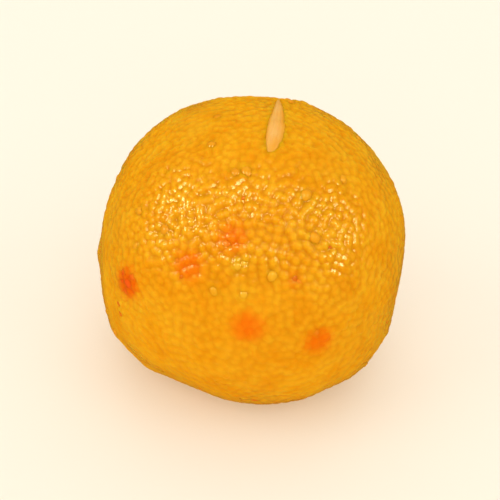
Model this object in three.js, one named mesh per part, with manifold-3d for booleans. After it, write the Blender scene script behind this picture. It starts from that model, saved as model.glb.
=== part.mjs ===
// A mihidana ladoo: a palm-sized ball of fine gram-flour droplets, pressed together by hand while
// warm with syrup and ghee, with one almond flake pushed into its crown.
//
// Millimetres and degrees. +Z is up, the origin is the middle of the flat spot the ball sits on, and
// the front is -Y. An azimuth runs from +X towards +Y, and an elevation runs up from the ball's waist.

import * as THREE from 'three';
import { ConvexHull } from 'three/addons/math/ConvexHull.js';
import { mergeVertices } from 'three/addons/utils/BufferGeometryUtils.js';
import Module from 'manifold-3d';

const wasm = await Module();
wasm.setup();

// The ball before it is rolled uneven. Its lower half is fuller than an ellipse, because it sags.
const ball = {
  halfWidth: 24.2,
  halfDepth: 23.6,
  crownHeight: 23.3,
  undersideDepth: 22.9,
  waistHeight: 19.8,
  upperFullness: 2,
  lowerFullness: 2.36,
};

// Where palms and fingers pressed the ball flatter, and, with a negative depth, where it bulged.
const palmPresses = [
  { name: 'right cheek', azimuth: -5, elevation: -9, spread: 22, depth: 1 },
  { name: 'left cheek', azimuth: 176, elevation: 3, spread: 31, depth: 1.45 },
  { name: 'low front left', azimuth: 240, elevation: -46, spread: 22, depth: 1.3 },
  { name: 'brow', azimuth: 262, elevation: 34, spread: 26, depth: 0.35 },
  { name: 'behind the crown', azimuth: 98, elevation: 58, spread: 28, depth: 0.45 },
  { name: 'back', azimuth: 70, elevation: 2, spread: 34, depth: 0.8 },
  { name: 'low back left', azimuth: 138, elevation: -34, spread: 26, depth: 0.6 },
  { name: 'low right bulge', azimuth: -28, elevation: -30, spread: 22, depth: -0.6 },
  { name: 'back right shoulder bulge', azimuth: 52, elevation: 46, spread: 20, depth: -0.5 },
  { name: 'left back bulge', azimuth: 118, elevation: 22, spread: 22, depth: -0.3 },
];

// The droplets at the skin of the ball: each is a low facetted mound with a groove all round it.
const droplets = {
  count: 1380,
  jitter: 0.4,
  evenings: 2,
  rise: 0.3,
  riseSpread: 0.22,
  groove: 0.24,
  seed: 20417,
};

// The almond flake: a thin drop-shaped slice with one straighter long side and one bowed one, bent
// over the crown with its wide end to the front. A larger taper makes its back end slimmer, a larger
// rounding makes its front end slimmer, and a larger bluntness rounds off both tips.
const flake = {
  length: 17.6,
  bowedSide: 1.72,
  straightSide: 0.98,
  taper: 1.75,
  rounding: 0.62,
  bluntness: 0.16,
  thickness: 1.1,
  rimThickness: 0.5,
  proud: 0.45,
  azimuth: 24,
  elevation: 84.6,
  heading: 87.2,
  stepsAlong: 26,
  stepsAcross: 6,
};

// The hollow that the flake sits in is this much larger than the flake all round.
const flakeClearance = 0.32;
const hollowHeadroom = 3;

const looks = {
  mihidana: { color: 0xf3a01e, roughness: 0.34, metalness: 0 },
  almond: { color: 0xf6cf8e, roughness: 0.42, metalness: 0 },
};

const degree = Math.PI / 180;
const centre = new THREE.Vector3(0, 0, ball.waistHeight);

// A repeatable random number from 0 to 1 (mulberry32).
function randomFrom(seed) {
  let state = seed;
  return () => {
    state = (state + 0x6d2b79f5) | 0;
    let mixed = Math.imul(state ^ (state >>> 15), 1 | state);
    mixed = (mixed + Math.imul(mixed ^ (mixed >>> 7), 61 | mixed)) ^ mixed;
    return ((mixed ^ (mixed >>> 14)) >>> 0) / 4294967296;
  };
}

function directionOf(azimuth, elevation) {
  const level = Math.cos(elevation * degree);
  return new THREE.Vector3(
    level * Math.cos(azimuth * degree),
    level * Math.sin(azimuth * degree),
    Math.sin(elevation * degree),
  );
}

const pressed = palmPresses.map((press) => ({
  direction: directionOf(press.azimuth, press.elevation),
  spread: press.spread * degree,
  depth: press.depth,
}));

// The distance from the centre to the ball's skin in one direction: a superellipsoid, less a smooth
// dish for every press.
function skinRadius(direction) {
  const upper = direction.z >= 0;
  const fullness = upper ? ball.upperFullness : ball.lowerFullness;
  const height = upper ? ball.crownHeight : ball.undersideDepth;
  const across = Math.hypot(direction.x / ball.halfWidth, direction.y / ball.halfDepth);
  const upright = Math.abs(direction.z) / height;
  const plain = (across ** fullness + upright ** fullness) ** (-1 / fullness);
  return pressed.reduce((radius, press) => {
    const away = press.direction.angleTo(direction) / press.spread;
    return radius - press.depth * Math.exp(-away * away);
  }, plain);
}

// Evenly spread directions (a golden-angle spiral), each nudged at random.
function spreadDirections(count, jitter, random) {
  const goldenAngle = Math.PI * (3 - Math.sqrt(5));
  const spacing = Math.sqrt((4 * Math.PI) / count);
  return Array.from({ length: count }, (_, i) => {
    const z = 1 - (2 * i + 1) / count;
    const level = Math.sqrt(1 - z * z);
    const turn = i * goldenAngle;
    const nudge = () => (random() - 0.5) * 2 * jitter * spacing;
    return new THREE.Vector3(
      level * Math.cos(turn) + nudge(),
      level * Math.sin(turn) + nudge(),
      z + nudge(),
    ).normalize();
  });
}

// The half-edges of the hull of points on the unit sphere. Its faces' normals point at the corners
// where the cells of three neighbouring droplets meet.
function neighbourEdges(directions) {
  const hull = new ConvexHull().setFromPoints(directions);
  const cornerOf = new Map(hull.faces.map((face, i) => [face, i]));
  const corners = hull.faces.map((face) => face.normal.clone().normalize());
  const indexOf = new Map(directions.map((direction, i) => [direction, i]));
  const edges = [];
  for (const face of hull.faces) {
    let edge = face.edge;
    do {
      edges.push({
        droplet: indexOf.get(edge.tail().point),
        left: cornerOf.get(face),
        right: cornerOf.get(edge.twin.face),
      });
      edge = edge.next;
    } while (edge !== face.edge);
  }
  return { corners, edges };
}

// Each droplet moves to the middle of its own cell's corners, which evens out the sizes.
function evened(directions) {
  const { corners, edges } = neighbourEdges(directions);
  const middles = directions.map(() => new THREE.Vector3());
  for (const edge of edges) {
    middles[edge.droplet].add(corners[edge.left]).add(corners[edge.right]);
  }
  return middles.map((middle) => middle.normalize());
}

// The skin of the ball: every droplet's cell becomes a fan of triangles from its raised middle to the
// sunken corners around it.
function dropletSkin() {
  const random = randomFrom(droplets.seed);
  let directions = spreadDirections(droplets.count, droplets.jitter, random);
  for (let i = 0; i < droplets.evenings; i += 1) {
    directions = evened(directions);
  }
  const { corners, edges } = neighbourEdges(directions);
  const positions = [];
  const place = (direction, lift) => {
    const point = direction.clone().multiplyScalar(skinRadius(direction) + lift).add(centre);
    positions.push(point.x, point.y, point.z);
  };
  directions.forEach((direction) => {
    place(direction, droplets.rise + (random() - 0.5) * 2 * droplets.riseSpread);
  });
  corners.forEach((corner) => place(corner, -droplets.groove));
  const first = directions.length;
  const triangles = edges.flatMap((edge) => [edge.droplet, first + edge.right, first + edge.left]);
  const skin = new THREE.BufferGeometry();
  skin.setAttribute('position', new THREE.Float32BufferAttribute(positions, 3));
  skin.setIndex(triangles);
  return skin;
}

// How far the flake reaches to one side of its centre line, at a share of its length from -1 at the
// wide end to 1 at the narrow one: a drop, which is a whole side wide where it is widest, and a
// slim ellipse along it.
function flakeReach(along, side) {
  const drop = (share) => (1 - share) ** flake.taper * (1 + share) ** flake.rounding;
  const widest = (flake.rounding - flake.taper) / (flake.rounding + flake.taper);
  const ellipse = Math.sqrt(Math.max(0, 1 - along * along));
  return side * ((1 - flake.bluntness) * drop(along) / drop(widest) + flake.bluntness * ellipse);
}

// A flake-shaped closed shell wrapped over the ball. grown widens it all round, below is the depth of
// its underside under the ball's skin, and above is the height of its top over the skin.
function flakeShell(grown, below, above, rimShare) {
  const middle = directionOf(flake.azimuth, flake.elevation);
  const heading = directionOf(flake.heading, 0);
  const along = heading.addScaledVector(middle, -heading.dot(middle)).normalize();
  const across = new THREE.Vector3().crossVectors(middle, along);
  const halfLength = flake.length / 2 + grown;
  const columns = flake.stepsAlong + 1;
  const rows = flake.stepsAcross + 1;
  const positions = [];
  for (const top of [true, false]) {
    for (let i = 0; i < columns; i += 1) {
      const u = -Math.cos((Math.PI * i) / flake.stepsAlong);
      const bowed = -flakeReach(u, flake.bowedSide + grown);
      const straight = flakeReach(u, flake.straightSide + grown);
      for (let j = 0; j < rows; j += 1) {
        const share = j / flake.stepsAcross;
        const sideways = bowed + (straight - bowed) * share;
        const direction = middle.clone()
          .addScaledVector(along, (u * halfLength) / ball.crownHeight)
          .addScaledVector(across, sideways / ball.crownHeight)
          .normalize();
        const fromRim = Math.sqrt(Math.max(0, 1 - Math.max(u * u, (2 * share - 1) ** 2)));
        const thick = rimShare + (1 - rimShare) * fromRim;
        const half = (above + below) / 2;
        const lift = (above - below) / 2 + (top ? half : -half) * thick;
        const point = direction.clone().multiplyScalar(skinRadius(direction) + lift).add(centre);
        positions.push(point.x, point.y, point.z);
      }
    }
  }
  return shellBetween(positions, columns, rows);
}

// Two grids of points, one over the other, closed into one body by a wall along their edges.
function shellBetween(positions, columns, rows) {
  const triangles = [];
  const side = rows - 1;
  const end = columns - 1;
  const index = (layer, i, j) => (layer * columns + i) * rows + j;
  const quad = (a, b, c, d) => triangles.push(a, b, c, a, c, d);
  for (let i = 0; i < end; i += 1) {
    for (let j = 0; j < side; j += 1) {
      quad(index(0, i, j), index(0, i + 1, j), index(0, i + 1, j + 1), index(0, i, j + 1));
      quad(index(1, i, j), index(1, i, j + 1), index(1, i + 1, j + 1), index(1, i + 1, j));
    }
    quad(index(1, i, 0), index(1, i + 1, 0), index(0, i + 1, 0), index(0, i, 0));
    quad(index(0, i, side), index(0, i + 1, side), index(1, i + 1, side), index(1, i, side));
  }
  for (let j = 0; j < side; j += 1) {
    quad(index(0, 0, j), index(0, 0, j + 1), index(1, 0, j + 1), index(1, 0, j));
    quad(index(1, end, j), index(1, end, j + 1), index(0, end, j + 1), index(0, end, j));
  }
  const shell = new THREE.BufferGeometry();
  shell.setAttribute('position', new THREE.Float32BufferAttribute(positions, 3));
  shell.setIndex(triangles);
  return shell;
}

function solidOf(geometry) {
  const bare = geometry.clone();
  bare.deleteAttribute('normal');
  bare.deleteAttribute('uv');
  const merged = mergeVertices(bare, 1e-4);
  return new wasm.Manifold(new wasm.Mesh({
    numProp: 3,
    vertProperties: merged.attributes.position.array,
    triVerts: new Uint32Array(merged.index.array),
  }));
}

function geometryOf(solid) {
  const mesh = solid.getMesh();
  const geometry = new THREE.BufferGeometry();
  geometry.setAttribute('position', new THREE.BufferAttribute(mesh.vertProperties, 3));
  geometry.setIndex(new THREE.BufferAttribute(mesh.triVerts, 1));
  geometry.computeVertexNormals();
  return geometry;
}

// The pressed ball, cut off level where it rests and hollowed for the flake.
function ladooSolid() {
  const tableSize = 4 * ball.halfWidth;
  const table = new THREE.BoxGeometry(tableSize, tableSize, tableSize);
  table.translate(0, 0, -tableSize / 2);
  const below = flake.thickness - flake.proud + flakeClearance;
  const hollow = flakeShell(flakeClearance, below, hollowHeadroom, 1);
  return solidOf(dropletSkin()).subtract(solidOf(table)).subtract(solidOf(hollow));
}

function flakeSolid() {
  const rimShare = flake.rimThickness / flake.thickness;
  return solidOf(flakeShell(0, flake.thickness - flake.proud, flake.proud, rimShare));
}

function part(name, solid, look) {
  const mesh = new THREE.Mesh(geometryOf(solid), new THREE.MeshStandardMaterial(look));
  mesh.name = name;
  return mesh;
}

const ladoo = new THREE.Group();
ladoo.add(part('mihidana_ball', ladooSolid(), looks.mihidana));
ladoo.add(part('almond_flake', flakeSolid(), looks.almond));

// The middle of the whole ladoo's outline stands over the origin.
const outline = new THREE.Box3().setFromObject(ladoo);
ladoo.position.set(-(outline.min.x + outline.max.x) / 2, -(outline.min.y + outline.max.y) / 2, 0);

export default ladoo;
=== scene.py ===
# Mihidana ladoo: a hand-pressed ball of fine gram-flour droplets with an almond flake in its crown.
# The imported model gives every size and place. Lengths in the dictionaries are in millimetres and angles in
# degrees, unless a name says otherwise. An azimuth runs from +X towards +Y, an elevation up from the waist.

import math

import bpy
import numpy as np
from mathutils import Matrix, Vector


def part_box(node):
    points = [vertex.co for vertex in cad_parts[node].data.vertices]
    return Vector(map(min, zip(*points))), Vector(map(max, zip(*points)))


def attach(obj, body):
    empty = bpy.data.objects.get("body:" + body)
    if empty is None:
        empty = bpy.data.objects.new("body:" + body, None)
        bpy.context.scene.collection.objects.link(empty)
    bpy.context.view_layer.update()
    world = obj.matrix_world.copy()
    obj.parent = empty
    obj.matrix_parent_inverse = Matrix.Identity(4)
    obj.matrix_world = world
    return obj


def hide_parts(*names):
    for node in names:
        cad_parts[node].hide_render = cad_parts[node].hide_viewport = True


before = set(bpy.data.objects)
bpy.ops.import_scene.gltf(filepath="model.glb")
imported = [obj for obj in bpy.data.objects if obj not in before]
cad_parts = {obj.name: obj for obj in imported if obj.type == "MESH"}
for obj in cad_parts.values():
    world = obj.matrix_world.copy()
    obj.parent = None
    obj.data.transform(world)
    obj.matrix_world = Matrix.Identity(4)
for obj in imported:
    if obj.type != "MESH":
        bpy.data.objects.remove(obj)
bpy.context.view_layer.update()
mm = 0.001
degree = math.pi / 180
print("frame loaded:", sorted(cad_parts))


def tone(red, green, blue):
    # screen values from 0 to 255 as the linear colour that the shaders take
    share = np.array([red, green, blue]) / 255
    linear = np.where(share <= 0.04045, share / 12.92, ((share + 0.055) / 1.055) ** 2.4)
    return (*linear.tolist(), 1.0)


def directionOf(azimuth, elevation):
    # unit vectors, (cos e cos a, cos e sin a, sin e), for one pair of angles or for arrays of them
    a, e = np.radians(azimuth), np.radians(elevation)
    return np.stack([np.cos(e) * np.cos(a), np.cos(e) * np.sin(a), np.sin(e)], -1)


def unit(vectors):
    return vectors / np.linalg.norm(vectors, axis=-1, keepdims=True)


def smoothStep(value, low, high):
    # 0 up to low and 1 from high on, with t^2 (3 - 2 t) between, where t is the share of the way
    t = np.clip((value - low) / (high - low), 0, 1)
    return t * t * (3 - 2 * t)


slantAxis = np.array([0.31, 0.2, 0.93])   # no droplet lies exactly along it


def tangentsOf(directions, turns):
    # two unit vectors square to each direction, the first turned by its own angle about it
    side = unit(np.cross(directions, slantAxis))
    other = np.cross(directions, side)
    first = side * np.cos(turns)[:, None] + other * np.sin(turns)[:, None]
    return first, np.cross(directions, first)


def quadsOf(number):
    # the squares between neighbouring rows and columns of a grid of point numbers
    return np.stack([number[:-1, :-1], number[1:, :-1], number[1:, 1:], number[:-1, 1:]], -1).reshape(-1, 4)


def inParts(count, most):
    # the numbers from 0 to count - 1 in parts of about that many, so that large tables fit in memory
    return np.array_split(np.arange(count), max(1, count // most))


def cubeSphere(cells):
    # a cube's surface as a lattice of squares, swelled to a unit sphere: each lattice number c becomes
    # tan((2 c / cells - 1) 45 degrees), then the three are scaled to length 1; edges are merged by number
    steps = np.arange(cells + 1)
    first, second = np.meshgrid(steps, steps, indexing="ij")
    number = np.arange((cells + 1) ** 2).reshape(cells + 1, cells + 1)
    outward = quadsOf(number)
    lattice, squares = [], []
    for axis in range(3):
        for side in (0, cells):
            points = np.full((cells + 1, cells + 1, 3), side)
            points[..., (axis + 1) % 3] = first
            points[..., (axis + 2) % 3] = second
            squares.append((outward if side else outward[:, ::-1]) + len(lattice) * number.size)
            lattice.append(points.reshape(-1, 3))
    lattice = np.concatenate(lattice)
    key = lattice @ np.array([1, cells + 1, (cells + 1) ** 2])
    _, where, back = np.unique(key, return_index=True, return_inverse=True)
    directions = unit(np.tan((lattice[where] / cells * 2 - 1) * math.pi / 4))
    return directions, back.reshape(-1)[np.concatenate(squares)]


def makePiece(name, points, faces, material, slot, **shares):
    # points in millimetres, and each further array becomes a point attribute of its own name
    mesh = bpy.data.meshes.new(name)
    mesh.from_pydata((points * mm).tolist(), [], faces.tolist())
    for label, values in shares.items():
        layer = mesh.attributes.new(label, "FLOAT", "POINT")
        layer.data.foreach_set("value", np.ascontiguousarray(values, np.float32))
    mesh.shade_smooth()
    mesh.materials.append(material)
    piece = bpy.data.objects.new(name, mesh)
    bpy.context.scene.collection.objects.link(piece)
    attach(piece, "root")
    print(f"{name}: {len(points)} points, {len(faces)} faces")
    return piece


# the ball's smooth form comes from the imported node
ballForm = {
    "node": "mihidana_ball",
    "centreShare": 0.458,        # the centre's height as a share of the whole height
    "smoothing": 4.2,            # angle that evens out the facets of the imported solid
    "footSkip": 0.4,             # points lower than this belong to the flat spot
    "flakeSkip": 0.6,            # points nearer than this to the flake belong to its hollow
    "raysAtOnce": 4000,
}


def nodePoints(name):
    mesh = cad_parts[name].data
    flat = np.empty(len(mesh.vertices) * 3, np.float32)
    mesh.vertices.foreach_get("co", flat)
    return np.unique(np.round(flat.reshape(-1, 3) / mm, 3), axis=0)


low, high = (np.array(corner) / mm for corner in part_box(ballForm["node"]))
centre = np.array([(low[0] + high[0]) / 2, (low[1] + high[1]) / 2, high[2] * ballForm["centreShare"]])
ballRadius = float((high[0] - low[0] + high[1] - low[1]) / 4)


def flakeFrame(name):
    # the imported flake's own axes: the way along it is from tip to tip, and its reach each way is
    # measured in millimetres on the plane that touches the ball halfway between the tips
    points = nodePoints(name) - centre
    rays = unit(points)
    front, back = rays[rays[:, 1].argmin()], rays[rays[:, 1].argmax()]
    middle = unit(front + back)
    along = unit(back - front)
    across = np.cross(middle, along)
    skin = np.linalg.norm(points, axis=1).mean()
    flat = rays / (rays @ middle)[:, None] * skin
    x, y = flat @ along, flat @ across
    return {"middle": middle, "along": along, "across": across, "skin": skin,
            "halfLength": (x.max() - x.min()) / 2, "bowed": -y.min(), "straight": y.max()}


flake = flakeFrame("almond_flake")


def flakePlace(directions):
    # where a ray meets the flake's plane: (share of the half length, millimetres across); the clip keeps
    # rays that never meet it finite
    depth = np.clip(directions @ flake["middle"], 0.05, None)
    along = directions @ flake["along"] / depth * flake["skin"]
    across = directions @ flake["across"] / depth * flake["skin"]
    return along / flake["halfLength"], across


flakeOutline = {
    "taper": 1.75,               # higher makes the back end slimmer
    "rounding": 0.62,            # higher makes the front end slimmer
    "bluntness": 0.16,           # higher rounds off both tips
    "tipShare": 0.6,             # how fast the distance from the edge grows inwards from a tip
    "nearCosine": 0.5,           # rays further round than this are nowhere near the flake
    "farOutside": -99,
}


def flakeReach(along, side):
    # one side of a drop, (1 - u)^taper (1 + u)^rounding over the same at its widest place, mixed by the
    # bluntness with an ellipse, (1 - u^2)^0.5
    taper, rounding, blunt = flakeOutline["taper"], flakeOutline["rounding"], flakeOutline["bluntness"]
    u, widest = np.clip(along, -1, 1), (rounding - taper) / (rounding + taper)
    drop = ((1 - u) / (1 - widest)) ** taper * ((1 + u) / (1 + widest)) ** rounding
    return side * ((1 - blunt) * drop + blunt * np.sqrt(1 - u ** 2))


def insideFlake(directions):
    # millimetres from the flake's edge, more than 0 inside it
    along, across = flakePlace(directions)
    bowed, straight = flakeReach(along, flake["bowed"]), flakeReach(along, flake["straight"])
    sides = np.minimum(bowed + across, straight - across)
    ends = (1 - np.abs(along)) * flake["halfLength"] * flakeOutline["tipShare"]
    near = directions @ flake["middle"] > flakeOutline["nearCosine"]
    return np.where(near, np.minimum(sides, ends), flakeOutline["farOutside"])


def smoothBall(directions):
    # distance from the centre to the smooth skin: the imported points' own distances, averaged with
    # the weight exp(-(angle / smoothing)^2), leaving out the flat spot and the flake's hollow
    points = nodePoints(ballForm["node"]) - centre
    reach = np.linalg.norm(points, axis=1)
    rays = points / reach[:, None]
    keep = (points[:, 2] + centre[2] > ballForm["footSkip"]) & (insideFlake(rays) < -ballForm["flakeSkip"])
    rays, reach = rays[keep].astype(np.float32), reach[keep].astype(np.float32)
    tight = 2 / (ballForm["smoothing"] * degree) ** 2
    radius = np.empty(len(directions), np.float32)
    for part in inParts(len(directions), ballForm["raysAtOnce"]):
        near = directions[part].astype(np.float32) @ rays.T
        nearest = near.max(1, keepdims=True)
        weight = np.exp((near - nearest) * tight)
        radius[part] = weight @ reach / weight.sum(1)
    return radius.astype(float)


# the fine droplets at the skin: where they lie and how they differ
boondi = {
    "count": 4700,
    "evenings": 4,               # rounds in which they push each other apart
    "push": 0.55,
    "sizeSpread": (2.0, 2.6),    # the beta curve that sizes from 0 to 1 follow
    "bend": (0.8, 1.6),          # radius of the dome that shows, smallest and largest
    "rise": 0.065,               # how far a droplet may stand over or under its neighbours
    "riseBySize": 1.6,
    "levelSize": 0.4,            # the size that stands neither over nor under
    "riseByChance": 0.4,
    "squeeze": 0.14,             # how much steeper than the dome its short axis may fall
    "fuse": 60.0,                # per millimetre; lower runs neighbours together
    "crease": (0.04, 0.2),       # depths between which painted shade darkens a groove
    "tint": (0.5, 0.13),         # middle and spread of the shade, from deep at 0 to pale at 1
    "dyeChange": (0.75, 1.1),
    "looseShare": 0.03,          # droplets that stand out of the skin whole
    "looseRise": 0.08,
    "looseBend": 1.1,
    "looseLowest": -0.72,        # sine of their lowest elevation, clear of the flat spot
    "looseFromFlake": 1.2,       # how far they keep from the flake
    "looseMostDye": 0.1,
    "raysAtOnce": 3000,
    "seed": 4127,
}

# what the maker's hands left on the ball
handMarks = {
    "count": 70,
    "spread": (7, 17),
    "depth": 0.16,               # palms leave broad shallow lumps and flats
    "knobCount": 620,
    "knobSpread": (2.6, 5.2),
    "knobDepth": 0.05,           # and the paste is lumpy in itself
    "pressedCount": 26,
    "pressedSpread": (9, 20),    # patches where the droplets are rubbed smooth
    "pressedAll": 0.42,          # how smooth the whole ball is rubbed
    "pressedPatch": 0.3,         # how much more or less the patches are
    "pressedCrown": 0.15,        # how much more the crown is
    "crownSines": (0.45, 0.95),  # where the crown starts and is full
    "seed": 88,
}

# places rubbed smoother, or with a share under 0 left rough: azimuth, elevation, spread, share
rubbedPatches = [
    (264, -30, 36, 0.5),
    (214, -24, 22, 0.4),
    (318, -18, 24, 0.35),
    (237, 38, 17, -0.6),
    (299, 41, 17, -0.6),
    (268, 14, 15, 0.2),
    (272, 40, 14, -0.3),
    (190, 4, 20, 0.6),
    (351, 6, 20, 0.5),
    (70, 12, 40, -0.35),
    (135, -12, 36, -0.35),
    (20, -24, 26, -0.3),
]

# lumps that stand out of the skin, or with a height under 0 dents: azimuth, elevation, spread, height
lumpsOnSkin = [
    (342, -20, 5.5, 0.3),
    (314, -37, 7.0, -0.38),
    (221, -40, 5.5, 0.42),
    (205, -27, 5.0, 0.34),
    (195, -9, 5.5, -0.3),
    (186, -4, 4.6, 0.42),
    (169, 22, 6.0, -0.3),
    (66, 54, 4.0, 0.4),
]

# orange-dyed droplets, in knots of a few: azimuth, elevation, radius of the knot, strength of the dye
dyedKnots = [
    (221.0, 6.6, 2.5, 1.0),
    (245.1, 24.2, 2.3, 0.64),
    (260.3, 37.9, 2.3, 0.62),
    (271.0, 6.0, 2.5, 0.64),
    (297.3, -1.5, 2.3, 0.66),
    (287.8, 24.0, 1.3, 0.4),
    (2.0, -16.0, 1.9, 0.85),
    (28.0, 26.0, 1.8, 0.75),
    (43.0, 4.0, 2.1, 0.9),
    (71.0, -26.0, 1.7, 0.7),
    (84.0, 27.0, 2.0, 0.85),
    (127.0, -3.0, 2.1, 0.95),
    (158.0, 28.0, 1.8, 0.7),
    (172.0, -24.0, 1.9, 0.8),
]

# pits with a browned speck in them: azimuth, elevation, size of the speck
brownedPits = [
    (217.8, -9.4, 0.42),
    (216.4, -5.6, 0.3),
    (287.8, 24.0, 0.5),
    (243.6, 19.6, 0.27),
    (277.2, -37.0, 0.5),
    (252.0, -36.5, 0.4),
    (262.0, 53.0, 0.24),
    (305.0, 33.0, 0.22),
    (336.0, -12.0, 0.32),
    (28.0, 18.0, 0.36),
    (60.0, -8.0, 0.3),
    (95.0, 12.0, 0.34),
    (118.0, -30.0, 0.4),
    (142.0, 32.0, 0.28),
    (180.0, 8.0, 0.33),
    (70.0, 48.0, 0.26),
]


def spreadDirections(count, evenings, rng):
    # random directions that push their neighbours away: each round adds, times the push, the sum over the
    # others of (p - q) exp(-(distance / spacing)^2), then scales back to the sphere
    points = unit(rng.normal(size=(count, 3))).astype(np.float32)
    spacing = math.sqrt(4 * math.pi / count)
    for _ in range(evenings):
        weight = np.exp((points @ points.T - 1) * (2 / spacing ** 2))
        np.fill_diagonal(weight, 0)
        push = points * weight.sum(1, keepdims=True) - weight @ points
        points = unit(points + boondi["push"] * push)
    return points.astype(float)


def makeDroplets():
    rng = np.random.default_rng(boondi["seed"])
    middles = spreadDirections(boondi["count"], boondi["evenings"], rng)
    count = len(middles)
    size = rng.beta(*boondi["sizeSpread"], count)
    first, _ = tangentsOf(middles, rng.uniform(0, math.pi, count))
    bend = boondi["bend"][0] + (boondi["bend"][1] - boondi["bend"][0]) * size
    rise = (size - boondi["levelSize"]) * boondi["rise"] * boondi["riseBySize"]
    rise = rise + rng.normal(0, boondi["rise"] * boondi["riseByChance"], count)
    squeeze = boondi["squeeze"] * rng.uniform(0, 1, count)
    tint = np.clip(rng.normal(*boondi["tint"], count), 0, 1)
    dye = dyeAt(middles) * rng.uniform(*boondi["dyeChange"], count)
    loose = (middles[:, 2] > boondi["looseLowest"]) & (insideFlake(middles) < -boondi["looseFromFlake"])
    loose &= dyeAt(middles) < boondi["looseMostDye"]
    loose &= rng.uniform(0, 1, count) < boondi["looseShare"] * (1 - pressedShare(middles))
    bend[loose] = boondi["looseBend"]
    rise[loose] += boondi["looseRise"]
    return {"middle": middles, "first": first, "bend": bend, "rise": rise, "squeeze": squeeze,
            "tint": tint, "dye": dye, "loose": loose}


def dyeAt(directions):
    # strength of the dye: the strongest knot's own strength times exp(-(distance / radius)^4)
    dye = np.zeros(len(directions))
    for azimuth, elevation, radius, strength in dyedKnots:
        away = np.linalg.norm(directions - directionOf(azimuth, elevation), axis=1) * ballRadius
        dye = np.maximum(dye, strength * np.exp(-(away / radius) ** 4))
    return dye


def fusedDroplets(directions, drops):
    # height of the fused droplets over the smooth ball: a smooth maximum, log(sum(exp(k h))) / k, of one
    # shallow dome each, h = rise - distance^2 / (2 bend) - squeeze (distance along its short axis)^2;
    # the same weights blend the droplets' tints and dye, and crease, from the depth under their own tops,
    # marks where painted shade darkens the grooves
    fuse = boondi["fuse"]
    middle, first = drops["middle"].astype(np.float32), drops["first"].astype(np.float32)
    steep = (ballRadius ** 2 / drops["bend"]).astype(np.float32)
    rise, squeeze = drops["rise"].astype(np.float32), (drops["squeeze"] * ballRadius ** 2).astype(np.float32)
    blended = np.stack([drops["tint"], drops["dye"], drops["rise"]], 1).astype(np.float32)
    height, mixed = np.empty(len(directions)), np.empty((len(directions), 3))
    for part in inParts(len(directions), boondi["raysAtOnce"]):
        rays = directions[part].astype(np.float32)
        domes = rise - (1 - rays @ middle.T) * steep - (rays @ first.T) ** 2 * squeeze
        top = domes.max(1, keepdims=True)
        weight = np.exp((domes - top) * fuse)
        total = weight.sum(1)
        height[part] = top[:, 0] + np.log(total) / fuse
        mixed[part] = weight @ blended / total[:, None]
    crease = smoothStep(mixed[:, 2] - height, *boondi["crease"])
    return height, crease, mixed[:, 0], mixed[:, 1]


def handField(directions, count, spread, seed):
    # the sum of amount exp(-(distance / spread)^2) over random places on the ball, each from -1 to 1
    rng = np.random.default_rng(seed)
    places = unit(rng.normal(size=(count, 3)))
    width = rng.uniform(*spread, count) * degree
    amount = rng.uniform(-1, 1, count)
    apart = 2 - 2 * (directions @ places.T)
    return np.exp(-apart / width ** 2) @ amount


def namedSpots(directions, spots):
    # the sum over a list of spots of their last value times exp(-(distance / spread)^2)
    azimuth, elevation, spread, amount = np.array(spots).T
    apart = 2 - 2 * (directions @ directionOf(azimuth, elevation).T)
    return np.exp(-apart / (spread * degree) ** 2) @ amount


def pressedShare(directions):
    # 0 where droplets keep their shape, 1 where palms rubbed them smooth
    marks = handMarks
    field = handField(directions, marks["pressedCount"], marks["pressedSpread"], marks["seed"] + 1)
    crown = smoothStep(directions[:, 2], *marks["crownSines"])
    rubbed = marks["pressedAll"] + marks["pressedPatch"] * field + marks["pressedCrown"] * crown
    return np.clip(rubbed + namedSpots(directions, rubbedPatches), 0, 1)


# the skin that the droplets are pressed into
ballSkin = {
    "cells": 128,
    "lift": -0.02,               # mean height of the droplets over the smooth form
    "pressedCalm": 0.72,         # how much of the relief a rubbed patch loses
    "bedDepth": 0.75,            # the dip under the almond flake
    "bedEdge": (0.15, 0.75),     # how far inside the flake's edge it starts and is full
    "bedRim": 0.1,               # paste pushed up around it
    "rimAway": 0.35,
    "rimWidth": 0.8,
    "pitDepth": 0.24,
    "pitRadius": 0.62,
    "pitLeastDepth": 0.4,        # added to the speck's size, so that small specks have a pit too
    "pitLeastRadius": 0.5,
    "footRound": 0.7,            # how softly the side turns into the flat spot
    "footWidth": 2.5,            # and how near to it that starts
    "footGroove": 0.1,           # droplets pressed flat keep a trace of their grooves
    "grooveDepths": (-0.1, 0.15),
    "flatBelow": 0.15,           # points lower than this lie on the flat spot
    "lowerSide": -0.05,          # sine of the elevation below which the flat spot may cut the skin
}
leastLength = 1e-3               # keeps a division or a rounding away from 0


def softMinimum(first, second, width):
    # the smaller of two lengths, rounded over: (a + b) / 2 less sqrt(((a - b) / 2)^2 + width^2)
    half = (first - second) / 2
    return (first + second) / 2 - np.sqrt(half ** 2 + width ** 2)


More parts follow.
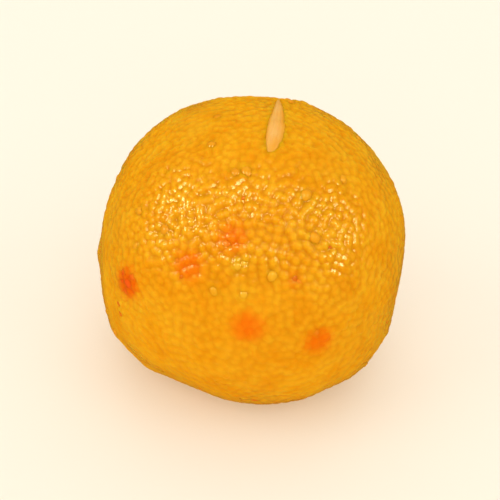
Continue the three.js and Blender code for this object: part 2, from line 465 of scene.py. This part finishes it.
def ballHeights(directions, drops):
    # everything that lies over the smooth form, in millimetres, with the shares that the finish reads
    height, crease, tint, dye = fusedDroplets(directions, drops)
    dye = (dye + dyeAt(directions)) / 2
    pressed = pressedShare(directions)
    marks = handMarks
    palms = handField(directions, marks["count"], marks["spread"], marks["seed"])
    knobs = handField(directions, marks["knobCount"], marks["knobSpread"], marks["seed"] + 2)
    lumps = palms * marks["depth"] + knobs * marks["knobDepth"] + namedSpots(directions, lumpsOnSkin)
    grain = 1 - ballSkin["pressedCalm"] * pressed
    relief = height * grain + lumps + ballSkin["lift"]
    for azimuth, elevation, size in brownedPits:
        away = np.linalg.norm(directions - directionOf(azimuth, elevation), axis=1) * ballRadius
        width = ballSkin["pitRadius"] * (ballSkin["pitLeastRadius"] + size)
        depth = ballSkin["pitDepth"] * (ballSkin["pitLeastDepth"] + size)
        relief = relief - depth * np.exp(-(away / width) ** 2)
    inside = insideFlake(directions)
    fromRim = (inside + ballSkin["rimAway"]) / ballSkin["rimWidth"]
    relief = relief + ballSkin["bedRim"] * np.exp(-fromRim ** 2)
    relief = relief - ballSkin["bedDepth"] * smoothStep(inside, *ballSkin["bedEdge"])
    return relief, crease * grain, tint, dye, grain


def makeBall(drops, material):
    # each point lies along its own direction, at the smooth radius plus the relief, and stops softly at
    # the plane it rests on
    directions, faces = cubeSphere(ballSkin["cells"])
    relief, crease, tint, dye, grain = ballHeights(directions, drops)
    radius = smoothBall(directions) + relief
    floorAway = centre[2] / np.clip(-directions[:, 2], leastLength, None)
    fromFloor = (radius - floorAway) / ballSkin["footWidth"]
    soft = ballSkin["footRound"] * np.exp(-fromFloor ** 2) + leastLength
    lower = directions[:, 2] < ballSkin["lowerSide"]
    radius = np.where(lower, softMinimum(radius, floorAway, soft), radius)
    points = centre + directions * radius[:, None]
    groove = ballSkin["footGroove"] * crease * smoothStep(-relief, *ballSkin["grooveDepths"])
    points[:, 2] = np.maximum(points[:, 2], np.where(points[:, 2] < ballSkin["flatBelow"], groove, 0))
    piece = makePiece("boondiBall", points, faces, material, "mihidana",
                      crease=crease, tint=tint, dye=dye, grain=grain)
    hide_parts(ballForm["node"])


dropletUnevenness = 0.035        # how far a scattered droplet's points stray, as a share of its radius
dropletGrain = 0.6               # how much of the fried grain and of the ghee film it shows

# loose droplets that stand a little out of the skin
looseBoondi = {
    "radius": (0.66, 0.92),
    "longer": (0.95, 1.2),
    "flatness": 0.8,
    "proud": (0.0, 0.16),        # how far the top stands over the skin
    "sugary": [(267.1, 29.2), (264.4, 28.2), (257.0, 17.8), (268.3, 18.0), (279.0, 25.5)],   # beads of syrup, painted pale as a highlight
    "sugaryProud": 0.8,          # as a share of the way between the two ends of proud
    # painted highlight: a tone past the pale end for the glint beads
    "sugaryTint": 1.4,
    "tint": (0.2, 0.1),          # middle and spread for the others, lower than the skin's: painted shade, as they catch more light than the skin
    "cells": 4,
    "deeper": 0.08,              # painted shade: some dye tone mixed in to darken them, as they catch more light than the skin
    "seed": 911,
}


def scatterDroplets(places, turns, sizes, proud, cells, rng):
    # one small ellipsoid for each place, for all of them at once: middle + first a x + second b y +
    # outward c z, for each point (x, y, z) of a unit sphere. It stands on the ball's radius with its top
    # proud of the skin, so its middle is that much less c over the skin
    shape, faces = cubeSphere(cells)
    first, second = tangentsOf(places, turns)
    axes = np.stack([first, second, places], 1)
    lumpy = 1 + rng.normal(0, dropletUnevenness, (len(places), len(shape), 1))
    local = shape[None] * sizes[:, None, :] * lumpy
    middles = centre + places * (skinAt(places) + proud - sizes[:, 2])[:, None]
    points = middles[:, None] + np.einsum("nki,nij->nkj", local, axes)
    numbered = faces[None] + np.arange(len(places))[:, None, None] * len(shape)
    return points.reshape(-1, 3), numbered.reshape(-1, 4), len(shape)


def skinAt(directions):
    relief = ballHeights(directions, drops)[0]
    return smoothBall(directions) + relief


def makeLooseBoondi(material):
    rng = np.random.default_rng(looseBoondi["seed"])
    glintBeadPlaces = directionOf(*np.array(looseBoondi["sugary"]).T)
    places = np.concatenate([glintBeadPlaces, drops["middle"][drops["loose"]]])
    count = len(places)
    pale = np.arange(count) < len(glintBeadPlaces)
    radius = rng.uniform(*looseBoondi["radius"], count)
    longer = radius * rng.uniform(*looseBoondi["longer"], count)
    sizes = np.stack([longer, radius, radius * looseBoondi["flatness"]], 1)
    least, most = looseBoondi["proud"]
    proud = least + (most - least) * np.where(pale, looseBoondi["sugaryProud"], rng.uniform(0, 1, count) ** 2)
    points, faces, each = scatterDroplets(places, rng.uniform(0, math.pi, count), sizes, proud,
                                          looseBoondi["cells"], rng)
    usual = np.clip(rng.normal(*looseBoondi["tint"], count), 0, 1)
    # the glint beads get the painted highlight tone
    tint = np.repeat(np.where(pale, looseBoondi["sugaryTint"], usual), each)
    deeper = np.repeat(np.where(pale, 0, looseBoondi["deeper"]), each)
    # the painted shade goes in through the dye attribute
    makePiece("looseBoondi", points, faces, material, "mihidana", crease=np.zeros(len(tint)), tint=tint,
              dye=deeper, grain=np.full(len(tint), dropletGrain))


# orange-dyed droplets
dyedBoondi = {
    "around": 6,                 # droplets round the middle one of a full knot
    "ringTurn": 6,               # radians that the ring may be turned by
    "ringUneven": 0.16,
    "ringShare": (0.56, 0.74),   # how far out the ring lies, as a share of the knot's radius
    "radius": (0.72, 0.95),      # in a knot 2 mm in radius, and in step with it in others
    "longer": (1, 1.25),
    "flatness": 0.6,
    "proud": (-0.03, 0.08),
    "weakSink": 0.1,             # how much deeper the weakest lie
    "tint": (0.5, 0.2),          # middle and spread
    "dyeChange": (0.04, 0.07),
    "cells": 5,
    "seed": 52,
}


def makeDyedBoondi(material):
    # a middle droplet and a ring of others in each knot; each one is kept with the chance strength^3
    rng = np.random.default_rng(dyedBoondi["seed"])
    knots = np.array(dyedKnots)
    each = dyedBoondi["around"] + 1
    knot = np.repeat(np.arange(len(knots)), each)
    step = np.tile(np.arange(each), len(knots))
    middle = directionOf(knots[:, 0], knots[:, 1])[knot]
    turn = step * 2 * math.pi / (each - 1) + rng.uniform(0, dyedBoondi["ringTurn"], len(knots))[knot]
    first, _ = tangentsOf(middle, turn + rng.normal(0, dyedBoondi["ringUneven"], len(knot)))
    off = np.where(step == 0, 0, knots[knot, 2] * rng.uniform(*dyedBoondi["ringShare"], len(knot)))
    places = unit(middle + first * (off / ballRadius)[:, None])
    strength = knots[knot, 3]
    keep = rng.uniform(0, 1, len(knot)) < strength ** 3
    places, strength, knot = places[keep], strength[keep], knot[keep]
    count = len(places)
    radius = rng.uniform(*dyedBoondi["radius"], count) * knots[knot, 2] / 2
    longer = radius * rng.uniform(*dyedBoondi["longer"], count)
    sizes = np.stack([longer, radius, radius * dyedBoondi["flatness"]], 1)
    proud = rng.uniform(*dyedBoondi["proud"], count) - dyedBoondi["weakSink"] * (1 - strength)
    points, faces, pointsEach = scatterDroplets(places, rng.uniform(0, math.pi, count), sizes, proud,
                                                dyedBoondi["cells"], rng)
    tint = np.repeat(np.clip(rng.normal(*dyedBoondi["tint"], count), 0, 1), pointsEach)
    dye = dyeAt(unit(points - centre)) + np.repeat(rng.normal(*dyedBoondi["dyeChange"], count), pointsEach)
    makePiece("dyedBoondi", points, faces, material, "mihidana", crease=np.zeros(len(tint)), tint=tint,
              dye=dye, grain=np.full(len(tint), dropletGrain))


# browned crumbs, one in each pit
brownedSpecks = {
    "shape": (1.5, 1.0, 0.7),    # length, width and thickness as shares of the size
    "proud": 0.22,
    "cells": 3,
    "seed": 5,
}


def makeBrownedSpecks(material):
    rng = np.random.default_rng(brownedSpecks["seed"])
    pits = np.array(brownedPits)
    places = directionOf(pits[:, 0], pits[:, 1])
    sizes = pits[:, 2:] * np.array(brownedSpecks["shape"])
    proud = np.full(len(pits), brownedSpecks["proud"])
    points, faces, each = scatterDroplets(places, rng.uniform(0, math.pi, len(pits)), sizes, proud,
                                          brownedSpecks["cells"], rng)
    makePiece("brownedSpecks", points, faces, material, "mihidana",
              tint=np.repeat(rng.uniform(0, 1, len(pits)), each))


# the almond slice
almondFlake = {
    "stepsAlong": 150,
    "stepsAcross": 36,
    "tips": 0.998,               # each tip is cut just short of its point
    "rimTop": 0.02,              # the cut edge lies about level with the skin
    "crown": 0.3,                # the middle stands this far over the edge
    "thickness": 1.0,
    "rimThickness": 0.35,        # as a share of the thickness
    "grooves": 0.035,            # fine lines along the flake
    "grooveRates": (9, 4.1),     # two waves across, whose product makes the lines
    "grooveBend": (5, 1.2),      # rate and size of their bending along it
    "wave": 0.09,                # the slice isn't quite flat
    "waveRates": (3.1, 1.7),     # along and across
    "waveAcross": 0.5,
    "chip": 0.12,                # unevenness of the knife's edge
    "chipWaves": [(9, 1.0), (17, 0.6), (31, 0.4)],    # rate along the flake and size
    "chipShares": (0.4, 0.6),    # of the bowed edge, and of that on the straight edge
    "soakedRim": 0.5,            # how far in from the edge the syrup has gone, as a share of the half width
    "soakedSide": 0.7,           # how much more syrup the bowed side has drunk
    "soakedAcross": (-0.4, 0.8),
    "seed": 31,
}


def makeAlmondFlake(material):
    # a closed slice over u from -1 to 1 along and v from -1 to 1 across. Its outline is two half drops; its
    # top is rim + crown (1 - max(u^2, v^2)^2)^0.8 with faint grooves and a slow wave, wrapped on the skin
    look = almondFlake
    rng = np.random.default_rng(look["seed"])
    u = np.sin(np.linspace(-1, 1, look["stepsAlong"]) * math.pi / 2) * look["tips"]
    v = np.sin(np.linspace(-1, 1, look["stepsAcross"]) * math.pi / 2)
    along, share = np.meshgrid(u, v, indexing="ij")
    phases = rng.uniform(0, 2 * math.pi, 7)
    ripple = 0
    for (rate, size), phase in zip(look["chipWaves"], phases):
        ripple = ripple + size * np.sin(along * rate + phase)
    chip = look["chip"] * ripple * look["chipShares"][0] * np.clip(1 - along ** 2, 0, 1)
    bowed = flakeReach(along, flake["bowed"]) + chip
    straight = flakeReach(along, flake["straight"]) - chip * look["chipShares"][1]
    across = -bowed + (bowed + straight) * (share + 1) / 2
    skin = flake["skin"]
    directions = unit(flake["middle"] + flake["along"] * (along * flake["halfLength"] / skin)[..., None]
                      + flake["across"] * (across / skin)[..., None])
    edge = np.clip(1 - np.maximum(along ** 2, share ** 2) ** 2, 0, 1) ** 0.8
    bend = np.sin(along * look["grooveBend"][0] + phases[3]) * look["grooveBend"][1]
    lines = np.sin(across * look["grooveRates"][0] + bend)
    lines = lines * np.sin(across * look["grooveRates"][1] + phases[4])
    wave = np.sin(along * look["waveRates"][0] + phases[5])
    wave = wave + look["waveAcross"] * np.sin(across * look["waveRates"][1] + phases[6])
    base = smoothBall(directions.reshape(-1, 3)).reshape(along.shape)
    top = base + look["rimTop"] + edge * (look["crown"] + look["grooves"] * lines + look["wave"] * wave)
    thick = look["rimThickness"] + (1 - look["rimThickness"]) * edge
    bottom = base + look["rimTop"] - look["thickness"] * thick
    layers = np.stack([centre + directions * top[..., None], centre + directions * bottom[..., None]])
    columns, rows = along.shape
    number = np.arange(2 * columns * rows).reshape(2, columns, rows)
    faces = [quadsOf(number[0]), quadsOf(number[1])[:, ::-1]]
    ring = np.concatenate([number[:, :, 0], number[:, -1, 1:],
                           number[:, -2::-1, -1], number[:, 0, -2:0:-1]], 1)
    follow = np.roll(ring, -1, 1)
    faces.append(np.stack([ring[0], ring[1], follow[1], follow[0]], -1))
    rim = np.clip(1 - np.maximum(np.abs(along), np.abs(share)), 0, 1)
    soaked = 1 - smoothStep(rim, 0.0, look["soakedRim"])
    soaked = soaked + look["soakedSide"] * smoothStep(-share, *look["soakedAcross"])
    soaked = np.broadcast_to(soaked, (2, columns, rows)).reshape(-1)
    lengthways = np.broadcast_to(along, (2, columns, rows)).reshape(-1)
    sideways = np.broadcast_to(across, (2, columns, rows)).reshape(-1)
    piece = makePiece("almondSlice", layers.reshape(-1, 3), np.concatenate(faces), material, "almond",
                      soaked=soaked, lengthways=lengthways, sideways=sideways)
    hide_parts("almond_flake")


def newGroup(name, inputs, outputs):
    # a shader node group whose sockets carry numbers, apart from a vector input
    tree = bpy.data.node_groups.new(name, "ShaderNodeTree")
    for label in inputs:
        kind = "NodeSocketVector" if label == "Vector" else "NodeSocketFloat"
        tree.interface.new_socket(name=label, in_out="INPUT", socket_type=kind)
    for label in outputs:
        tree.interface.new_socket(name=label, in_out="OUTPUT", socket_type="NodeSocketFloat")
    return tree, tree.nodes.new("NodeGroupInput").outputs, tree.nodes.new("NodeGroupOutput").inputs


def node(tree, kind, settings=None, **inputs):
    # a node with its plain settings, and its inputs given as values or as another node's output; in0 is
    # the first input, and a name has _ where its socket has a space
    made = tree.nodes.new(kind)
    for key, value in (settings or {}).items():
        setattr(made, key, value)
    for key, value in inputs.items():
        numbered = key.startswith("in") and key[2:].isdigit()
        socket = made.inputs[int(key[2:])] if numbered else made.inputs[key.replace("_", " ")]
        if isinstance(value, bpy.types.NodeSocket):
            tree.links.new(value, socket)
        else:
            socket.default_value = value
    return made


def mathNode(tree, operation, first, second=0.0, third=0.0, clamp=False):
    settings = {"operation": operation, "use_clamp": clamp}
    return node(tree, "ShaderNodeMath", settings, in0=first, in1=second, in2=third).outputs[0]


def mixColours(tree, factor, first, second):
    return node(tree, "ShaderNodeMix", {"data_type": "RGBA"}, in0=factor, in6=first, in7=second).outputs[2]


def mapRange(tree, value, fromLow, fromHigh, toLow, toHigh):
    made = node(tree, "ShaderNodeMapRange", {"clamp": True}, in0=value, in1=fromLow, in2=fromHigh,
                in3=toLow, in4=toHigh)
    return made.outputs[0]


def noise(tree, place, scale, detail, roughness=0.5):
    return node(tree, "ShaderNodeTexNoise", None, Vector=place, Scale=scale, Detail=detail,
                Roughness=roughness).outputs[0]


# the grain of fried gram paste
crumbNoise = {
    "blotch": (3.0, 0.55),       # detail and roughness of the shade over a few droplets
    "crumb": (2.0, 0.45),        # and of the fine height
    "poreScale": 0.55,           # as a share of the crumb's scale
    "poreSmoothness": 0.6,
    "poreReach": 0.7,
    "poreHeight": 0.6,
}


def makeCrumbGroup():
    # a blotchy shade, and a pitted height: crumb noise + poreHeight (1 - distance from a pore / poreReach)
    look = crumbNoise
    tree, given, out = newGroup("friedGramCrumb", ["Vector", "Blotch Scale", "Crumb Scale"],
                                ["Blotch", "Height"])
    crumb = noise(tree, given[0], given[2], *look["crumb"])
    poreScale = mathNode(tree, "MULTIPLY", given[2], look["poreScale"])
    pores = node(tree, "ShaderNodeTexVoronoi", {"feature": "SMOOTH_F1"}, Vector=given[0], Scale=poreScale,
                 Smoothness=look["poreSmoothness"])
    poreShare = mapRange(tree, pores.outputs["Distance"], 0.0, look["poreReach"], 1.0, 0.0)
    tree.links.new(noise(tree, given[0], given[1], *look["blotch"]), out[0])
    tree.links.new(mathNode(tree, "MULTIPLY_ADD", poreShare, look["poreHeight"], crumb), out[1])
    return tree


# the film of ghee
gheePatches = {
    "noise": (2.0, 0.5),         # detail and roughness
    "edge": (0.36, 0.6),         # values of the noise where the film starts and is full
}


def makeGheeGroup():
    # wet patches some millimetres wide, and how rough the surface is in and out of them
    tree, given, out = newGroup("gheeFilm", ["Vector", "Patch Scale", "Dry Roughness", "Wet Roughness",
                                             "Most Film"], ["Film", "Roughness"])
    patches = noise(tree, given[0], given[1], *gheePatches["noise"])
    film = mapRange(tree, patches, *gheePatches["edge"], 0.0, 1.0)
    tree.links.new(mathNode(tree, "MULTIPLY", film, given[4]), out[0])
    tree.links.new(mapRange(tree, film, 0.0, 1.0, given[2], given[3]), out[1])
    return tree


crumbGroup = makeCrumbGroup()
gheeGroup = makeGheeGroup()


def newMaterial(name, constants):
    # a Principled material with some of the shader's own sockets set
    material = bpy.data.materials.new(name)
    material.use_nodes = True
    tree = material.node_tree
    tree.nodes.clear()
    shader = tree.nodes.new("ShaderNodeBsdfPrincipled")
    out = tree.nodes.new("ShaderNodeOutputMaterial")
    tree.links.new(shader.outputs[0], out.inputs[0])
    for label, value in constants.items():
        shader.inputs[label].default_value = value
    return material, tree, shader


def grainAndFilm(tree, look, mostFilm):
    # the two shared groups, on the piece's own place and at the look's scales
    place = node(tree, "ShaderNodeTexCoord").outputs["Object"]
    crumb = node(tree, "ShaderNodeGroup", {"node_tree": crumbGroup}, Vector=place,
                 Blotch_Scale=look["blotchScale"], Crumb_Scale=look["crumbScale"])
    ghee = node(tree, "ShaderNodeGroup", {"node_tree": gheeGroup}, Vector=place,
                Patch_Scale=look["patchScale"], Dry_Roughness=look["roughness"][0],
                Wet_Roughness=look["roughness"][1], Most_Film=mostFilm)
    return crumb.outputs["Blotch"], crumb.outputs["Height"], ghee.outputs["Film"], ghee.outputs["Roughness"]


def connect(tree, shader, look, colour, roughness, film, height):
    # what varies over a food: its colour, roughness, film of ghee and fine relief
    bump = node(tree, "ShaderNodeBump", None, Strength=look["bump"], Distance=look["bumpDepth"],
                Height=height)
    tree.links.new(colour, shader.inputs["Base Color"])
    tree.links.new(roughness, shader.inputs["Roughness"])
    tree.links.new(film, shader.inputs["Coat Weight"])
    tree.links.new(bump.outputs[0], shader.inputs["Normal"])


def attributeValue(tree, label):
    return node(tree, "ShaderNodeAttribute", {"attribute_name": label}).outputs["Fac"]


# scales count the features in a metre, and a roughness is a pair, where dry and where wet
boondiFinish = {
    "deep": tone(229, 149, 12),
    "gram": tone(233, 160, 20),
    "gramAt": 0.45,              # where it lies on the way from deep to pale
    "pale": tone(236, 171, 28),
    "tintShare": 0.3,            # how much a droplet's own tint counts
    "blotchEdge": (0.36, 0.64),
    "blotchShare": 0.7,          # and how much the blotches do
    # painted shade: a darker tone mixed into the grooves between droplets
    "crease": tone(213, 139, 3),
    "creaseShare": 0.5,
    "dye": tone(240, 86, 1),
    "blotchScale": 260.0,
    "crumbScale": 1700.0,
    "patchScale": 150.0,
    "roughness": (0.4, 0.24),
    "filmGrain": (0.25, 0.75),   # grain of the skin between which the film grows
    "filmLeast": 0.4,            # its share where the skin is rubbed smooth
    "bump": 0.85,
    "bumpDepth": 0.00013,        # metres
    "shader": {
        "Subsurface Radius": (1.0, 0.65, 0.35),
        "Subsurface Scale": 0.0022,     # metres
        "Coat Roughness": 0.17,
        "Coat IOR": 1.46,
        "Specular IOR Level": 0.15,
        "Specular Tint": (1.0, 0.82, 0.48, 1.0),
    },
}


def makeBoondiMaterial(name, dyeGain, subsurface, mostFilm):
    look = boondiFinish
    material, tree, shader = newMaterial(name, look["shader"])
    shader.inputs["Subsurface Weight"].default_value = subsurface
    blotch, height, film, roughness = grainAndFilm(tree, look, mostFilm)
    blotch = mapRange(tree, blotch, *look["blotchEdge"], 0.0, look["blotchShare"])
    shade = mathNode(tree, "MULTIPLY_ADD", attributeValue(tree, "tint"), look["tintShare"], blotch)
    ramp = node(tree, "ShaderNodeValToRGB", None, in0=shade)
    ramp.color_ramp.elements[0].color = look["deep"]
    ramp.color_ramp.elements[1].color = look["pale"]
    ramp.color_ramp.elements.new(look["gramAt"]).color = look["gram"]
    # painted shade in the grooves, by the depth share in the crease attribute
    crease = mathNode(tree, "MULTIPLY", attributeValue(tree, "crease"), look["creaseShare"])
    creased = mixColours(tree, crease, ramp.outputs[0], look["crease"])
    # the dye attribute holds real dye, and painted shade on the loose droplets
    dyeShare = mathNode(tree, "MULTIPLY", attributeValue(tree, "dye"), dyeGain, clamp=True)
    coloured = mixColours(tree, dyeShare, creased, look["dye"])
    grain = attributeValue(tree, "grain")
    filmShare = mapRange(tree, grain, *look["filmGrain"], look["filmLeast"], 1.0)
    film = mathNode(tree, "MULTIPLY", film, filmShare)
    connect(tree, shader, look, coloured, roughness, film, mathNode(tree, "MULTIPLY", height, grain))
    return material


almondFinish = {
    "cream": tone(240, 180, 88),
    "soaked": tone(236, 160, 28),
    "soakedShare": 0.75,
    "blotchEdge": (0.4, 0.75),
    "blotchShare": 0.4,
    "line": tone(232, 156, 58),
    "lineNoise": (3.2, 2.0),     # scale and detail, along and across the flake
    "lineEdge": (0.5, 0.75),
    "lineShare": 0.45,
    "blotchScale": 420.0,
    "crumbScale": 2600.0,
    "patchScale": 260.0,
    "roughness": (0.46, 0.28),
    "mostFilm": 0.3,
    "bump": 0.25,
    "bumpDepth": 0.00008,
    "shader": {
        "Subsurface Weight": 0.3,
        "Subsurface Radius": (1.0, 0.6, 0.3),
        "Subsurface Scale": 0.0006,
        "Coat Roughness": 0.15,
        "Coat IOR": 1.46,
    },
}


def makeAlmondMaterial():
    look = almondFinish
    material, tree, shader = newMaterial("almondCut", look["shader"])
    blotch, height, film, roughness = grainAndFilm(tree, look, look["mostFilm"])
    patchy = mapRange(tree, blotch, *look["blotchEdge"], 0.0, look["blotchShare"])
    soaked = mathNode(tree, "MULTIPLY_ADD", attributeValue(tree, "soaked"), look["soakedShare"], patchy)
    body = mixColours(tree, soaked, look["cream"], look["soaked"])
    place = node(tree, "ShaderNodeCombineXYZ", None, X=attributeValue(tree, "lengthways"),
                 Y=attributeValue(tree, "sideways"))
    lines = noise(tree, place.outputs[0], *look["lineNoise"])
    lineShare = mapRange(tree, lines, *look["lineEdge"], 0.0, look["lineShare"])
    connect(tree, shader, look, mixColours(tree, lineShare, body, look["line"]), roughness, film, height)
    return material


speckFinish = {
    "dark": tone(210, 100, 6),
    "light": tone(228, 118, 8),
    "tintShare": 0.5,
    "shadeEdge": (0.4, 1.0),
    "blotchScale": 900.0,
    "crumbScale": 3000.0,
    "patchScale": 400.0,
    "roughness": (0.5, 0.32),
    "mostFilm": 0.3,
    "bump": 0.3,
    "bumpDepth": 0.00008,
    "shader": {
        "Coat Roughness": 0.18,
        "Specular IOR Level": 0.15,
        "Specular Tint": (1.0, 0.82, 0.48, 1.0),
    },
}


def makeSpeckMaterial():
    look = speckFinish
    material, tree, shader = newMaterial("brownedGram", look["shader"])
    blotch, height, film, roughness = grainAndFilm(tree, look, look["mostFilm"])
    shade = mathNode(tree, "MULTIPLY_ADD", attributeValue(tree, "tint"), look["tintShare"], blotch)
    shade = mapRange(tree, shade, *look["shadeEdge"], 0.0, 1.0)
    connect(tree, shader, look, mixColours(tree, shade, look["dark"], look["light"]), roughness, film, height)
    return material


# for each: how strong the dye is, how much light goes into it, and how much ghee lies on it
pressedMaterial = makeBoondiMaterial("boondiPressed", 0.95, 1.0, 0.75)
looseMaterial = makeBoondiMaterial("boondiLoose", 1.0, 0.0, 0.7)
almondMaterial = makeAlmondMaterial()
speckMaterial = makeSpeckMaterial()
print("finishes made")

drops = makeDroplets()
makeBall(drops, pressedMaterial)
makeLooseBoondi(looseMaterial)
makeDyedBoondi(looseMaterial)
makeBrownedSpecks(speckMaterial)
makeAlmondFlake(almondMaterial)


studio = {
    "floorRadius": 6000,         # out to where the floor fades into the sky
    "floorSides": 96,
    "floorShader": {
        "Base Color": tone(213, 205, 197),
        "Emission Color": tone(255, 241, 196),
        "Emission Strength": 0.3,       # its own light, which keeps its shadows pale and warm
        "Roughness": 0.7,
        "Specular IOR Level": 0.0,
    },
    "backdrop": tone(255, 252, 232),
    "skyTone": tone(255, 252, 248),
    "skyStrength": 0.7,          # what lights the ladoo
    "sheenTone": tone(255, 212, 110),
    "sheenStrength": 0.18,       # what its gloss mirrors where no soft box stands
    "backdropStrength": 1.0,     # what shows behind it
    "boxTone": (1.0, 0.9, 0.45),
    "boxDistance": 0.7,          # metres
    "boxSize": 0.22,
}

# wide even lights without a reflection: azimuth, elevation, softness, watts on a square metre
evenLights = [
    (203.1, 34.7, 40, 0.4),
    (336.9, 34.7, 40, 0.18),
    (270.0, 30.0, 50, 0.72),
    (90.0, 50.0, 60, 0.5),
    (270.0, 75.0, 60, 0.45),
]

# soft boxes that only show in the gloss: azimuth, elevation, watts
glossBoxes = [
    (203.1, 34.7, 3.7),
    (336.9, 34.7, 3.1),
    (270.0, 58.0, 2.8),
]

camera = {
    "elevation": 35.6,
    "roll": 5.0,
    "distance": 306.5,
    "aimShare": 0.4465,          # height of the aim point as a share of the ball's height
    "aimAcross": -0.3,
    "lens": 144.4,
    "sensor": 36,
    "clip": (0.01, 50),          # metres
}


def makeFloor():
    # one wide disc
    count, radius = studio["floorSides"], studio["floorRadius"]
    angles = np.linspace(0, 2 * math.pi, count, endpoint=False)
    points = np.stack([radius * np.cos(angles), radius * np.sin(angles), 0 * angles], 1)
    mesh = bpy.data.meshes.new("floor")
    mesh.from_pydata((points * mm).tolist(), [], [list(range(count))])
    mesh.materials.append(newMaterial("paleFloor", studio["floorShader"])[0])
    floor = bpy.data.objects.new("floor", mesh)
    floor.visible_glossy = False
    bpy.context.scene.collection.objects.link(floor)


def pointAt(thing, place, target, roll=0.0):
    # turns a lamp or camera so that its own -Z runs from place to target, then rolls it about that line
    back = unit(np.array(place, float) - np.array(target, float))
    side = unit(np.cross([0, 0, 1], back))
    up = np.cross(back, side)
    c, s = math.cos(roll * degree), math.sin(roll * degree)
    columns = np.stack([side * c + up * s, up * c - side * s, back], 1)
    matrix = np.eye(4)
    matrix[:3, :3], matrix[:3, 3] = columns, place
    thing.matrix_world = Matrix(matrix.tolist())


def makeLamp(name, kind, place, aim, colour, strength, gloss):
    # a lamp that shows in the gloss alone, or lights matt surfaces alone
    lamp = bpy.data.lights.new(name, kind)
    lamp.color, lamp.energy = colour, strength
    holder = bpy.data.objects.new(name, lamp)
    holder.visible_diffuse, holder.visible_glossy = not gloss, gloss
    bpy.context.scene.collection.objects.link(holder)
    pointAt(holder, place, aim)
    return lamp


def makeLamps():
    for number, (azimuth, elevation, softness, strength) in enumerate(evenLights):
        away = directionOf(azimuth, elevation)
        lamp = makeLamp(f"evenLight{number}", "SUN", away, (0, 0, 0), (1, 1, 1), strength, False)
        lamp.angle = softness * degree
    aim = centre * mm
    for number, (azimuth, elevation, power) in enumerate(glossBoxes):
        place = aim + directionOf(azimuth, elevation) * studio["boxDistance"]
        lamp = makeLamp(f"glossBox{number}", "AREA", place, aim, studio["boxTone"], power, True)
        lamp.shape, lamp.size = "SQUARE", studio["boxSize"]


def makeStudio():
    world = bpy.data.worlds.new("studioSky")
    world.use_nodes = True
    tree = world.node_tree
    sky = tree.nodes["Background"]
    path = node(tree, "ShaderNodeLightPath")
    shown, mirrored = path.outputs["Is Camera Ray"], path.outputs["Is Glossy Ray"]
    strength = mapRange(tree, mirrored, 0.0, 1.0, studio["skyStrength"], studio["sheenStrength"])
    strength = mapRange(tree, shown, 0.0, 1.0, strength, studio["backdropStrength"])
    colour = mixColours(tree, mirrored, studio["skyTone"], studio["sheenTone"])
    colour = mixColours(tree, shown, colour, studio["backdrop"])
    tree.links.new(strength, sky.inputs["Strength"])
    tree.links.new(colour, sky.inputs["Color"])
    bpy.context.scene.world = world
    makeFloor()
    makeLamps()
    eye = bpy.data.cameras.new("camera")
    eye.lens, eye.sensor_width = camera["lens"], camera["sensor"]
    eye.clip_start, eye.clip_end = camera["clip"]
    seer = bpy.data.objects.new("camera", eye)
    bpy.context.scene.collection.objects.link(seer)
    aim = np.array([camera["aimAcross"], 0, high[2] * camera["aimShare"]]) * mm
    pointAt(seer, aim + directionOf(270, camera["elevation"]) * camera["distance"] * mm, aim, camera["roll"])
    bpy.context.scene.camera = seer
    bpy.context.scene.view_settings.view_transform = "Standard"


makeStudio()
print("studio ready")
